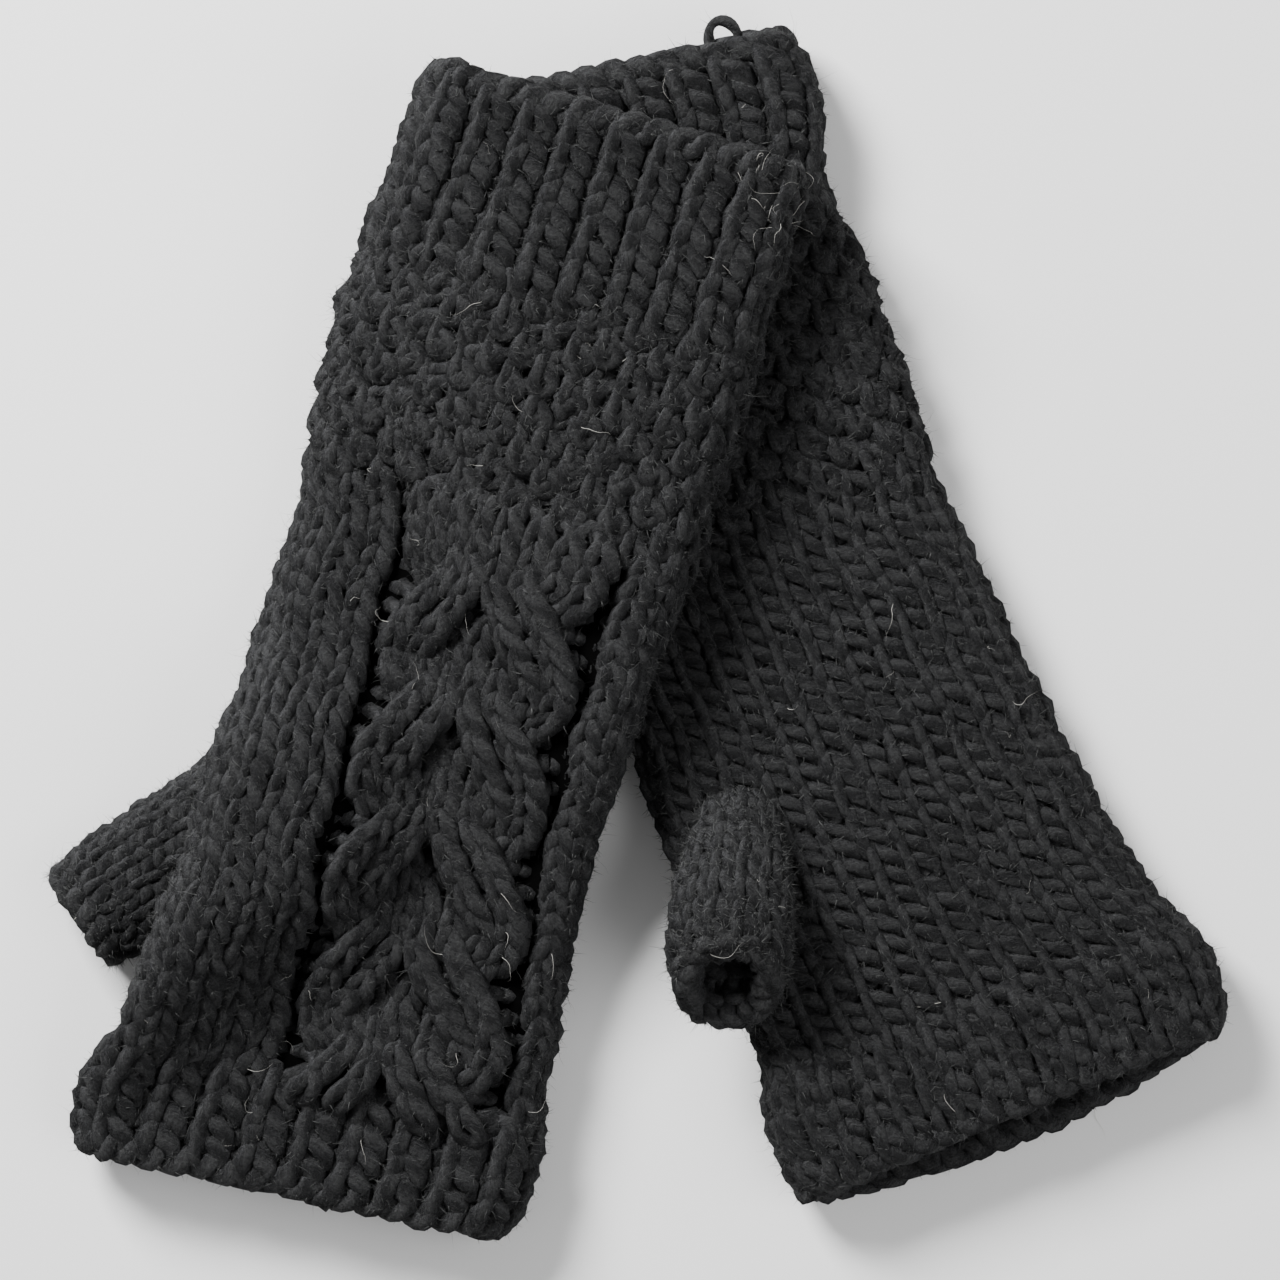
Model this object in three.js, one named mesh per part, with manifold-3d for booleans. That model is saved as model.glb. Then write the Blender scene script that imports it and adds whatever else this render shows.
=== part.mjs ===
// A pair of hand-knitted fingerless mitts laid flat, the left one crossed over the right one.
// Each mitt is a flattened knitted tube: cast-on edge, ribbed cuff, seed stitch band, hand with a
// cable on its back and a plain palm, thumb gusset, ribbed finger end, and a short thumb tube.
// Millimetres, +Z up, origin on the table under the middle of the pair.
import * as THREE from 'three';
import Module from 'manifold-3d';

const wasm = await Module();
wasm.setup();

// ---- driving dimensions -------------------------------------------------------------------------

const LENGTH = 245.5; // cuff edge to finger edge
const WALL = 6.8; // thickness of the knitted fabric
const HOLLOW = 7.4; // space between the two walls of the flattened tube
const HEIGHT = 2 * WALL + HOLLOW;
const FOLD_RADIUS = HEIGHT / 2; // rounded side folds
const GAP = 0.3; // clearance between neighbouring pieces
const CROSSING_CLEARANCE = 1.2; // between the two mitts where they cross
const THUMB_CLEARANCE = 1.2; // between a thumb and the hand that it lies against
const CROSSING_SLOPE = [-38, 11]; // the left mitt rises between these distances inside the
const CUFF_SLOPE = [-60, -6]; // right one's side, and inside its cuff edge
const THUMB_SLOPE = [-46, -13]; // and between these distances from the line of its own thumb

const ROW_FACET = 11; // longest facet along a mitt
const COLUMN_FACET = 7; // longest facet around a mitt

const CAST_ON_END = 5; // the zones of knitting, measured along the mitt from the cuff edge
const CUFF_RIB_END = 41;
const FINGER_RIB_START = 221;
const BIND_OFF_START = 240;

const CABLE_START = 103.6; // where the cable's first crossing lies
const CABLE_REPEAT = 26.4; // one crossing to the next
const CABLE_LOBE = 1.8; // how far a strand bulges between its crossings
const GUSSET_BACK_EDGE = 8; // from the side fold, round to the back
const GUSSET_PALM_EDGE = 9; // from the side fold, round to the palm, before the gusset widens
const GUSSET_WIDENING = 38;
const GUSSET_GROWS = [95, 164]; // the rows over which the gusset widens
const GUSSET_CLOSES = [188, 218]; // the rows over which it narrows again
const GUSSET_CLOSED_SHARE = 0.9; // how much of its widening it loses there

const THUMB_HALF_WIDTH = 14.8;
const THUMB_WALL = 5.9;
const THUMB_DRUM = 16; // the thumb turns outside this radius round its pivot
const THUMB_RIM = 5; // length of the bound-off edge round the thumb's end
const THUMB_ROOT_ROWS = [130, 215]; // the rows of the hand that the thumb grows out of
const THUMB_ROOT_BACK = [0.01, 0.96]; // shares of the way round that count as the hand's back
const THUMB_SIDES = 16;
const THUMB_STATIONS = 7;
const THUMB_PIVOT = 0.27; // where the pivot lies along the thumb's path
const DRUM_SIDES = 32;

const YARN_LOOP_RADIUS = 3.2;
const YARN_LOOP_STRETCH = 1.3; // its height as a share of its radius
const YARN_LOOP_THICKNESS = 2.2;
const YARN_LOOP_SPOT = { along: -0.6, across: 25.5, height: 17.5 };

// An outline row is [distance from the cuff edge, centre line's offset, half-width, slant of the
// rows of stitches across the mitt].
const leftMitt = {
  name: 'left',
  backUp: true,
  cuff: new THREE.Vector2(-5.5, 111.2),
  turn: THREE.MathUtils.degToRad(-16.45),
  seedBandEnd: 90,
  cableProud: 2.6,
  cableEdges: [[98, -17, 26], [145, -14.2, 28], [FINGER_RIB_START, -9.2, 37]],
  outline: [
    [0, 0.6, 43.2, 0], [25, 0.4, 43.6, 0], [58, -0.4, 46.4, 0], [90, -0.2, 44.9, 0],
    [132, -0.6, 43.8, 0], [178, -1.1, 44.7, 0], [221, -0.7, 49, -0.05],
    [234, -0.9, 50.6, -0.07], [LENGTH, -0.9, 48.6, -0.08],
  ],
  thumbPath: [[-29, 158, 26], [-36, 169, 19.5], [-48, 183, 9.9], [-62, 200, 9.7]],
  thumbHalfHeight: 9,
  thumbSlant: 0,
};
const rightMitt = {
  name: 'right',
  backUp: false,
  cuff: new THREE.Vector2(-6.5, 122.7),
  turn: THREE.MathUtils.degToRad(21),
  seedBandEnd: 101,
  cableProud: 0,
  cableEdges: [[98, -17, 24], [145, -16, 26], [FINGER_RIB_START, -9.2, 37]],
  outline: [
    [0, -0.6, 42.2, 0.155], [16, -1.4, 42.4, 0.14], [36, -5.9, 41.6, 0.1],
    [68, -6.3, 44.7, 0.04], [114, -7.4, 43.6, 0], [171, -4.4, 45.8, 0], [208, -0.7, 48, 0],
    [230, 0.9, 52.6, -0.02], [LENGTH, 0.9, 51.6, -0.03],
  ],
  thumbPath: [[-30, 157, 10], [-35, 169, 21], [-41, 181, 32.4], [-47.6, 195.5, 33]],
  thumbHalfHeight: 10.4,
  thumbSlant: 0.85,
};

// ---- the flattened tube's surface -------------------------------------------------------------

const smoothStep = ([low, high], value) => THREE.MathUtils.smoothstep(value, low, high);

// Value of column `column` of a table of rows at `s`, on a smooth curve through the rows.
function along(rows, column, s) {
  const last = rows.length - 1;
  let i = 0;
  while (i < last - 1 && s > rows[i + 1][0]) i += 1;
  const slope = (k) => {
    const before = rows[Math.max(k - 1, 0)];
    const after = rows[Math.min(k + 1, last)];
    return (after[column] - before[column]) / (after[0] - before[0]);
  };
  const span = rows[i + 1][0] - rows[i][0];
  const t = THREE.MathUtils.clamp((s - rows[i][0]) / span, 0, 1);
  const [from, to] = [rows[i][column], rows[i + 1][column]];
  const bend = (1 - t) * span * slope(i) - t * span * slope(i + 1) + (2 * t - 1) * (to - from);
  return from + t * (to - from) + t * (1 - t) * bend;
}

const centre = (mitt, s) => along(mitt.outline, 1, s);
const halfWidth = (mitt, s) => along(mitt.outline, 2, s);
const halfRound = (mitt, s) => 2 * (halfWidth(mitt, s) - FOLD_RADIUS) + Math.PI * FOLD_RADIUS;

// A spot on the mitt, x across it and s along it, in the plan of the table.
function plan(mitt, x, s) {
  const heading = new THREE.Vector2(Math.sin(mitt.turn), -Math.cos(mitt.turn));
  const across = new THREE.Vector2(Math.cos(mitt.turn), Math.sin(mitt.turn));
  return mitt.cuff.clone().addScaledVector(heading, s).addScaledVector(across, x);
}

// How high the left mitt is held by the right mitt that it lies on.
function liftOverRightMitt(spot) {
  const offset = spot.clone().sub(rightMitt.cuff);
  const turn = rightMitt.turn;
  const s = offset.x * Math.sin(turn) - offset.y * Math.cos(turn);
  const x = offset.x * Math.cos(turn) + offset.y * Math.sin(turn);
  const sRow = THREE.MathUtils.clamp(s, 0, LENGTH);
  const inside = halfWidth(rightMitt, sRow) - Math.abs(x - centre(rightMitt, sRow));
  const rise = smoothStep(CROSSING_SLOPE, inside) * smoothStep(CUFF_SLOPE, s);
  return (HEIGHT + CROSSING_CLEARANCE) * rise;
}

// How high the left hand is held by the thumb that lies under its edge.
function liftOverThumb(spot) {
  const path = leftMitt.thumbPath;
  const thumb = new THREE.Line3(
    new THREE.Vector3(...plan(leftMitt, path[1][0], path[1][1]), 0),
    new THREE.Vector3(...plan(leftMitt, path[3][0], path[3][1]), 0),
  );
  const here = new THREE.Vector3(spot.x, spot.y, 0);
  const nearest = thumb.closestPointToPoint(here, true, new THREE.Vector3());
  const height = 2 * leftMitt.thumbHalfHeight + THUMB_CLEARANCE;
  return height * smoothStep(THUMB_SLOPE, -here.distanceTo(nearest));
}

function lift(mitt, spot) {
  if (mitt === rightMitt) return 0;
  return Math.hypot(liftOverRightMitt(spot), liftOverThumb(spot));
}

// A point of the wall. `a` is the distance round the outside from the thumb-side fold, positive
// over the back and negative over the palm; `depth` is how far the point lies inside the wall.
function wallPoint(mitt, s, a, depth) {
  const flat = 2 * (halfWidth(mitt, s) - FOLD_RADIUS);
  const quarter = (Math.PI / 2) * FOLD_RADIUS;
  const reach = Math.abs(a);
  const face = a < 0 ? -1 : 1;
  const radius = FOLD_RADIUS - depth;
  let x = centre(mitt, s) - flat / 2 + (reach - quarter);
  let z = radius;
  if (reach < quarter) {
    x = centre(mitt, s) - flat / 2 - radius * Math.cos(reach / FOLD_RADIUS);
    z = radius * Math.sin(reach / FOLD_RADIUS);
  } else if (reach > quarter + flat) {
    const angle = (reach - quarter - flat) / FOLD_RADIUS;
    x = centre(mitt, s) + flat / 2 + radius * Math.sin(angle);
    z = radius * Math.cos(angle);
  }
  const row = s + along(mitt.outline, 3, s) * (x - centre(mitt, s));
  const spot = plan(mitt, x, row);
  const up = mitt.backUp ? face : -face;
  return new THREE.Vector3(spot.x, spot.y, FOLD_RADIUS + up * z + lift(mitt, spot));
}

// ---- solids -----------------------------------------------------------------------------------

function solidGeometry(vertices, triangles) {
  const geometry = new THREE.BufferGeometry().setFromPoints(vertices);
  let volume = 0;
  for (const [a, b, c] of triangles) {
    volume += vertices[a].dot(new THREE.Vector3().crossVectors(vertices[b], vertices[c]));
  }
  const outward = triangles.map(([a, b, c]) => (volume > 0 ? [a, b, c] : [a, c, b]));
  geometry.setIndex(outward.flat());
  return geometry;
}

// A closed solid between an outer and an inner sheet of points, each [row][column].
// A ring's columns join round.
function sheetSolid(outer, inner, ring) {
  const rows = outer.length;
  const columns = outer[0].length;
  const vertices = [...outer.flat(), ...inner.flat()];
  const triangles = [];
  const quad = (a, b, c, d) => triangles.push([a, b, c], [a, c, d]);
  const out = (r, c) => r * columns + (c % columns);
  const inn = (r, c) => rows * columns + out(r, c);
  const steps = ring ? columns : columns - 1;
  for (let r = 0; r < rows - 1; r += 1) {
    for (let c = 0; c < steps; c += 1) {
      quad(out(r, c), out(r, c + 1), out(r + 1, c + 1), out(r + 1, c));
      quad(inn(r, c), inn(r + 1, c), inn(r + 1, c + 1), inn(r, c + 1));
    }
  }
  for (let c = 0; c < steps; c += 1) {
    quad(out(0, c), inn(0, c), inn(0, c + 1), out(0, c + 1));
    quad(out(rows - 1, c), out(rows - 1, c + 1), inn(rows - 1, c + 1), inn(rows - 1, c));
  }
  for (let r = 0; r < rows - 1 && !ring; r += 1) {
    quad(out(r, 0), out(r + 1, 0), inn(r + 1, 0), inn(r, 0));
    quad(out(r, steps), inn(r, steps), inn(r + 1, steps), out(r + 1, steps));
  }
  return solidGeometry(vertices, triangles);
}

// A closed solid core inside one sheet of points whose columns join round, capped at both ends.
function loftSolid(sheet) {
  const rows = sheet.length;
  const columns = sheet[0].length;
  const middle = (row) => row.reduce((sum, p) => sum.add(p), new THREE.Vector3()).divideScalar(columns);
  const vertices = [...sheet.flat(), middle(sheet[0]), middle(sheet[rows - 1])];
  const triangles = [];
  const at = (r, c) => r * columns + (c % columns);
  for (let c = 0; c < columns; c += 1) {
    for (let r = 0; r < rows - 1; r += 1) {
      triangles.push([at(r, c), at(r, c + 1), at(r + 1, c + 1)]);
      triangles.push([at(r, c), at(r + 1, c + 1), at(r + 1, c)]);
    }
    triangles.push([rows * columns, at(0, c + 1), at(0, c)]);
    triangles.push([rows * columns + 1, at(rows - 1, c), at(rows - 1, c + 1)]);
  }
  return solidGeometry(vertices, triangles);
}

const spread = (from, to, steps) =>
  Array.from({ length: steps + 1 }, (_, i) => from + ((to - from) * i) / steps);

// A patch of wall from s0 to s1, between two lines that run along the mitt. A patch that is
// proud swells outward between its edges.
function wallPatch(mitt, s0, s1, edge0, edge1, proud = 0) {
  const rows = spread(s0 + GAP / 2, s1 - GAP / 2, Math.ceil((s1 - s0) / ROW_FACET));
  const widest = Math.max(...rows.map((s) => edge1(s) - edge0(s)));
  const columns = Math.ceil(widest / COLUMN_FACET);
  const sheet = (depth) => rows.map((s) =>
    spread(edge0(s) + GAP / 2, edge1(s) - GAP / 2, columns).map((a, i) =>
      wallPoint(mitt, s, a, depth - (depth ? 0 : proud * Math.sin((Math.PI * i) / columns)))));
  return sheetSolid(sheet(0), sheet(WALL), false);
}

function ringSheet(mitt, rows, depthAt) {
  return rows.map((s) => {
    const columns = Math.ceil((2 * halfRound(mitt, 0)) / COLUMN_FACET);
    const turns = spread(-1, 1, columns).slice(0, columns);
    return turns.map((turn) => wallPoint(mitt, s, turn * halfRound(mitt, s), depthAt(turn)));
  });
}

function wallRing(mitt, s0, s1) {
  const rows = spread(s0 + GAP / 2, s1 - GAP / 2, Math.ceil((s1 - s0) / ROW_FACET));
  return sheetSolid(ringSheet(mitt, rows, () => 0), ringSheet(mitt, rows, () => WALL), true);
}

// The middle line of a thumb, from inside the hand to the thumb's open end.
function thumbCurve(mitt) {
  return new THREE.CatmullRomCurve3(mitt.thumbPath.map(([x, s, z]) => {
    const spot = plan(mitt, x, s);
    return new THREE.Vector3(spot.x, spot.y, z);
  }));
}

// Oval sections of the thumb tube, from `start` to `end` of its path, 0 to 1, made larger all
// round by `grown`.
function thumbSheet(mitt, start, end, grown) {
  const halfWide = THUMB_HALF_WIDTH + grown;
  const halfHigh = mitt.thumbHalfHeight + grown;
  const path = thumbCurve(mitt);
  const stations = Math.max(1, Math.round(THUMB_STATIONS * (end - start)));
  return spread(start, end, stations).map((t) => {
    const place = path.getPointAt(THREE.MathUtils.clamp(t, 0, 1));
    const ahead = path.getTangentAt(THREE.MathUtils.clamp(t, 0, 1));
    const side = new THREE.Vector3(0, 0, 1).cross(ahead).normalize();
    const up = new THREE.Vector3().crossVectors(ahead, side);
    return spread(0, 2 * Math.PI, THUMB_SIDES).slice(0, THUMB_SIDES).map((angle) => {
      const rise = halfHigh * Math.sin(angle);
      return place.clone()
        .addScaledVector(side, halfWide * Math.cos(angle))
        .addScaledVector(up, rise)
        .addScaledVector(ahead, -mitt.thumbSlant * t * t * rise);
    });
  });
}

function thumbShell(mitt, start, end) {
  const outer = thumbSheet(mitt, start, end, 0);
  const inner = thumbSheet(mitt, start, end, -THUMB_WALL);
  return sheetSolid(outer, inner, true);
}

function toManifold(geometry) {
  return new wasm.Manifold(new wasm.Mesh({
    numProp: 3,
    vertProperties: new Float32Array(geometry.attributes.position.array),
    triVerts: new Uint32Array(geometry.index.array),
  }));
}

function toGeometry(manifold) {
  const mesh = manifold.getMesh();
  const result = new THREE.BufferGeometry();
  result.setAttribute('position', new THREE.BufferAttribute(mesh.vertProperties, 3));
  result.setIndex(new THREE.BufferAttribute(mesh.triVerts, 1));
  return result;
}

// ---- the pieces -------------------------------------------------------------------------------

const wool = new THREE.MeshStandardMaterial({ color: 0x2c2c2e, roughness: 0.96, metalness: 0 });
const edgeWool = new THREE.MeshStandardMaterial({ color: 0x363638, roughness: 0.94, metalness: 0 });

function piece(mitt, name, geometry, material = wool) {
  const mesh = new THREE.Mesh(geometry, material.clone());
  mesh.name = `${mitt.name}_${name}`;
  return mesh;
}

// Where a line at `x` across the back lies, as a distance round from the thumb-side fold.
function backLine(mitt, s, x) {
  const flatStart = centre(mitt, s) - halfWidth(mitt, s) + FOLD_RADIUS;
  return (Math.PI / 2) * FOLD_RADIUS + x - flatStart;
}

function cableLobe(s) {
  return CABLE_LOBE * (1 - Math.cos((2 * Math.PI * (s - CABLE_START)) / CABLE_REPEAT)) / 2;
}

function gussetPalmEdge(s) {
  const widen = smoothStep(GUSSET_GROWS, s) - GUSSET_CLOSED_SHARE * smoothStep(GUSSET_CLOSES, s);
  return -GUSSET_PALM_EDGE - GUSSET_WIDENING * widen;
}

// A round drum about the thumb's upright pivot. The thumb's base rows stay inside it with the
// hand, and the rest of the thumb turns round the outside of it.
function thumbDrum(mitt, radius) {
  const [x, s] = mitt.thumbPath[1];
  const pivot = plan(mitt, x, s);
  const angles = spread(0, 2 * Math.PI, DRUM_SIDES).slice(0, DRUM_SIDES);
  return loftSolid([-HEIGHT, 3 * HEIGHT].map((z) => angles.map((angle) => new THREE.Vector3(
    pivot.x + radius * Math.cos(angle), pivot.y + radius * Math.sin(angle), z,
  ))));
}

function thumbPieces(mitt) {
  const length = thumbCurve(mitt).getLength();
  const rimStart = 1 - THUMB_RIM / length;
  const tubeEnd = rimStart - GAP / length;
  const [backStart, backEnd] = THUMB_ROOT_BACK;
  const [rootStart, rootEnd] = THUMB_ROOT_ROWS;
  const insideOfHand = loftSolid(ringSheet(
    mitt,
    spread(rootStart, rootEnd, Math.ceil((rootEnd - rootStart) / ROW_FACET)),
    (turn) => (turn > backStart && turn < backEnd ? -mitt.thumbHalfHeight : WALL),
  ));
  const outside = toManifold(loftSolid(thumbSheet(mitt, THUMB_PIVOT, 1, 1)))
    .subtract(toManifold(thumbDrum(mitt, THUMB_DRUM)));
  const base = toManifold(thumbShell(mitt, 0, tubeEnd))
    .subtract(toManifold(insideOfHand))
    .subtract(outside);
  const tube = toManifold(thumbShell(mitt, THUMB_PIVOT, tubeEnd))
    .subtract(toManifold(thumbDrum(mitt, THUMB_DRUM + GAP)));
  return [
    piece(mitt, 'thumb_base_rows', toGeometry(base)),
    piece(mitt, 'thumb_tube', toGeometry(tube)),
    piece(mitt, 'thumb_bind_off_edge', thumbShell(mitt, rimStart, 1), edgeWool),
  ];
}

function mittPieces(mitt) {
  const [handStart, handEnd] = [mitt.seedBandEnd, FINGER_RIB_START];
  const innerCableEdge = (s) => backLine(mitt, s, along(mitt.cableEdges, 1, s) - cableLobe(s));
  const outerCableEdge = (s) => backLine(mitt, s, along(mitt.cableEdges, 2, s) + cableLobe(s));
  const cableMiddle = (s) => (innerCableEdge(s) + outerCableEdge(s)) / 2;
  const farFold = (s) => halfRound(mitt, s);
  const gussetBackEdge = () => GUSSET_BACK_EDGE;
  const patch = (edge0, edge1, proud) => wallPatch(mitt, handStart, handEnd, edge0, edge1, proud);
  const thumbHole = toManifold(loftSolid(thumbSheet(mitt, 0, 1, GAP)));
  const pierced = (geometry) => toGeometry(toManifold(geometry).subtract(thumbHole));
  const palm = patch((s) => -farFold(s), gussetPalmEdge);
  const gusset = patch(gussetPalmEdge, gussetBackEdge);
  return [
    piece(mitt, 'cast_on_edge', wallRing(mitt, 0, CAST_ON_END), edgeWool),
    piece(mitt, 'cuff_rib', wallRing(mitt, CAST_ON_END, CUFF_RIB_END)),
    piece(mitt, 'seed_stitch_band', wallRing(mitt, CUFF_RIB_END, handStart)),
    piece(mitt, 'back_thumb_side_panel', patch(gussetBackEdge, innerCableEdge)),
    piece(mitt, 'cable_thumb_side_strand', patch(innerCableEdge, cableMiddle, mitt.cableProud)),
    piece(mitt, 'cable_outer_side_strand', patch(cableMiddle, outerCableEdge, mitt.cableProud)),
    piece(mitt, 'back_outer_side_panel', patch(outerCableEdge, farFold)),
    piece(mitt, 'palm_panel', pierced(palm)),
    piece(mitt, 'thumb_gusset', pierced(gusset)),
    piece(mitt, 'finger_rib', wallRing(mitt, FINGER_RIB_START, BIND_OFF_START)),
    piece(mitt, 'finger_bind_off_edge', wallRing(mitt, BIND_OFF_START, LENGTH), edgeWool),
    ...thumbPieces(mitt),
  ];
}

// A loop of yarn left standing out of the right cuff's cast-on edge.
function yarnLoop(mitt) {
  const { along: s, across, height } = YARN_LOOP_SPOT;
  const tall = YARN_LOOP_RADIUS * YARN_LOOP_STRETCH;
  const arch = new THREE.EllipseCurve(0, 0, YARN_LOOP_RADIUS, tall, 0, Math.PI);
  const points = arch.getPoints(10).map((p) => {
    const slant = along(mitt.outline, 3, 0) * across;
    const spot = plan(mitt, across + p.x, s + slant - p.y);
    return new THREE.Vector3(spot.x, spot.y, height);
  });
  const round = new THREE.Shape().absarc(0, 0, YARN_LOOP_THICKNESS / 2, 0, 2 * Math.PI);
  const geometry = new THREE.ExtrudeGeometry(round, {
    steps: 12,
    curveSegments: 4,
    bevelEnabled: false,
    extrudePath: new THREE.CatmullRomCurve3(points),
  });
  return piece(mitt, 'cast_on_yarn_loop', geometry, edgeWool);
}

const pair = new THREE.Group();
pair.add(...mittPieces(leftMitt), ...mittPieces(rightMitt), yarnLoop(rightMitt));

export default pair;
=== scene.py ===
"""A pair of fingerless knitted mitts: every stitch is real yarn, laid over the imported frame."""
import math

import bpy
import numpy as np
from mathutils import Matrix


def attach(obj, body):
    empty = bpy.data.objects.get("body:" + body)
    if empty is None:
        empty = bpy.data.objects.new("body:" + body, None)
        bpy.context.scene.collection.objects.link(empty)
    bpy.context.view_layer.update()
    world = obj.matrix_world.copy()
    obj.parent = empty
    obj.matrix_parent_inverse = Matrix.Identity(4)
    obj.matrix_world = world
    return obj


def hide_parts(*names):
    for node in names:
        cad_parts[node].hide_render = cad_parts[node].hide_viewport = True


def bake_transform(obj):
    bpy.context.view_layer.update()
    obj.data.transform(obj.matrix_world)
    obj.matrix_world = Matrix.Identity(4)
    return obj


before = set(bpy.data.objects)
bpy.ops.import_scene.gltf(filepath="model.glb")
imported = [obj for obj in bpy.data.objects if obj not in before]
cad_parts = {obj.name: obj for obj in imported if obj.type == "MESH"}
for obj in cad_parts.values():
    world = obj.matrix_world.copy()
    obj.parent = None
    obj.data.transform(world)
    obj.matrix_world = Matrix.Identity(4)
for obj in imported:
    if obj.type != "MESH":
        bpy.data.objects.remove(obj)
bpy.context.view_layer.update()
bpy.ops.object.select_all(action="DESELECT")
MM = 0.001

# ---- Camera --------------------------------------------------------------------------------------
# Looks straight down on the pair as it lies on the table, with the cuffs at the top.
VIEW_WIDTH = 279 * MM
CAMERA_HEIGHT = 1.5
MIDDLE_HEIGHT = 20 * MM
VIEW_MIDDLE = (0.2 * MM, -2.5 * MM)
camera_data = bpy.data.cameras.new("camera")
camera_data.angle = 2 * math.atan(VIEW_WIDTH / 2 / (CAMERA_HEIGHT - MIDDLE_HEIGHT))
camera = bpy.data.objects.new("camera", camera_data)
camera.location = (*VIEW_MIDDLE, CAMERA_HEIGHT)
bpy.context.collection.objects.link(camera)
bpy.context.scene.camera = camera

# ---- The flattened mitts -------------------------------------------------------------------------
# Each mitt is a knitted tube lying flat, with a rounded fold down each side. The left one is
# draped over the right one and over its own thumb.
# Sizes of the knitting are in millimetres.
LENGTH = 245.5
WALL = 6.8
HEIGHT = 21.0
FOLD_RADIUS = HEIGHT / 2
LAYER_GAP = 1.2
# Yarn that would lie lower than SOFT_FLOOR is pressed flat towards REST_HEIGHT above the table.
SOFT_FLOOR = 4.0
REST_HEIGHT = 2.1
# The cloth waves a little, its sides aren't quite straight, and the right mitt's lower layer
# reaches past the upper one at the fingers.
CLOTH_WAVE = 0.45
SIDE_WAVE = 0.011
LIP_START = 218
# How far from the edge of what lies under it the left mitt starts to rise, and is fully up.
DRAPE_SIDE = (-38, 11)
DRAPE_CUFF = (-60, -6)
DRAPE_THUMB = (-46, -13)


def smooth_step(low, high, value):
    """Rises from 0 at low to 1 at high, level at both ends."""
    t = np.clip((value - low) / (high - low), 0, 1)
    return t * t * (3 - 2 * t)


def along(rows, column, s):
    """A column of a table at s, on a smooth curve through the table's rows."""
    rows = np.asarray(rows, float)
    last = len(rows) - 1
    i = np.clip(np.searchsorted(rows[:, 0], s) - 1, 0, last - 1)
    before = np.maximum(np.arange(last + 1) - 1, 0)
    after = np.minimum(np.arange(last + 1) + 1, last)
    slope = (rows[after, column] - rows[before, column]) / (rows[after, 0] - rows[before, 0])
    span = rows[i + 1, 0] - rows[i, 0]
    t = np.clip((s - rows[i, 0]) / span, 0, 1)
    start, end = rows[i, column], rows[i + 1, column]
    bend = (1 - t) * span * slope[i] - t * span * slope[i + 1] + (2 * t - 1) * (end - start)
    return start + t * (end - start) + t * (1 - t) * bend


class Mitt:
    """One flattened tube, in millimetres. s runs from the cuff to the fingers, b runs round the
    tube from the thumb-side fold over the back, and out is the height above the outer face."""

    def __init__(self, name, back_up, cuff, turn, outline, thumb_path, thumb_half_height):
        self.name = name
        self.back_up = back_up
        self.cuff = np.array(cuff)
        self.turn = math.radians(turn)
        self.outline = outline
        self.thumb_path = np.array(thumb_path, float)
        self.thumb_half_height = thumb_half_height
        self.lift = lambda spot: np.zeros(spot.shape[:-1])
        self.hand = 1 if back_up else -1
        self.back_lip = 0

    def centre(self, s):
        return along(self.outline, 1, s)

    def half_width(self, s):
        return along(self.outline, 2, s)

    def half_round(self, s):
        """Half the way round the tube."""
        return 2 * (self.half_width(s) - FOLD_RADIUS) + math.pi * FOLD_RADIUS

    def plan(self, x, s):
        """The spot on the table that lies x across from the cuff's middle and s along."""
        across = np.array([math.cos(self.turn), math.sin(self.turn)])
        heading = np.array([math.sin(self.turn), -math.cos(self.turn)])
        return self.cuff + np.multiply.outer(x, across) + np.multiply.outer(s, heading)

    def local(self, spot):
        """The x and s of a spot on the table."""
        x, y = spot[..., 0] - self.cuff[0], spot[..., 1] - self.cuff[1]
        cos, sin = math.cos(self.turn), math.sin(self.turn)
        return x * cos + y * sin, x * sin - y * cos

    def back_line(self, s, x):
        """The b of a line that runs over the back, x across from the middle."""
        return math.pi / 2 * FOLD_RADIUS + x - self.centre(s) + self.half_width(s) - FOLD_RADIUS

    def thumb_line(self):
        """The spots under the thumb's root and its tip."""
        return self.plan(*self.thumb_path[1, :2]), self.plan(*self.thumb_path[3, :2])

    def point(self, b, s, out):
        """Places in metres of yarn points given by b, s and out."""
        row = np.clip(s, 0, LENGTH)
        round_half = self.half_round(row)
        turn = np.mod(b, 2 * round_half)
        palm = turn > round_half
        lip = np.where(palm, 0, np.sin(math.pi * turn / round_half))
        s = s + self.back_lip * lip * smooth_step(LIP_START, LENGTH, s)
        out = out + CLOTH_WAVE * np.sin(b / 8.3 + s / 13) * np.sin(s / 10.1 - b / 17)
        reach = np.where(palm, 2 * round_half - turn, turn)
        flat = 2 * (self.half_width(row) - FOLD_RADIUS)
        quarter = math.pi / 2 * FOLD_RADIUS
        radius = FOLD_RADIUS + out
        near = np.clip(reach / FOLD_RADIUS, 0, math.pi / 2)
        far = np.clip((reach - quarter - flat) / FOLD_RADIUS, 0, math.pi / 2)
        x = -flat / 2 + np.clip(reach - quarter, 0, flat)
        x = x - radius * np.cos(near) + radius * np.sin(far)
        z = radius * np.sin(near) * np.cos(far)
        uneven = np.sin(s / 15 + self.hand) + 0.7 * np.sin(s / 6.7) + 0.5 * np.sin(s / 3.1)
        x = x * (1 + SIDE_WAVE * np.where(x > 0, uneven, -uneven)) + self.centre(row)
        spot = self.plan(x, s + along(self.outline, 3, row) * (x - self.centre(row)))
        up = np.where(palm, -1, 1) * self.hand
        height = FOLD_RADIUS + up * z + self.lift(spot)
        squash = SOFT_FLOOR - REST_HEIGHT
        pressed = REST_HEIGHT + squash * np.exp(np.minimum(height - SOFT_FLOOR, 0) / squash)
        height = np.where(height < SOFT_FLOOR, pressed, height)
        return np.concatenate([spot, height[..., None]], -1) * MM


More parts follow.
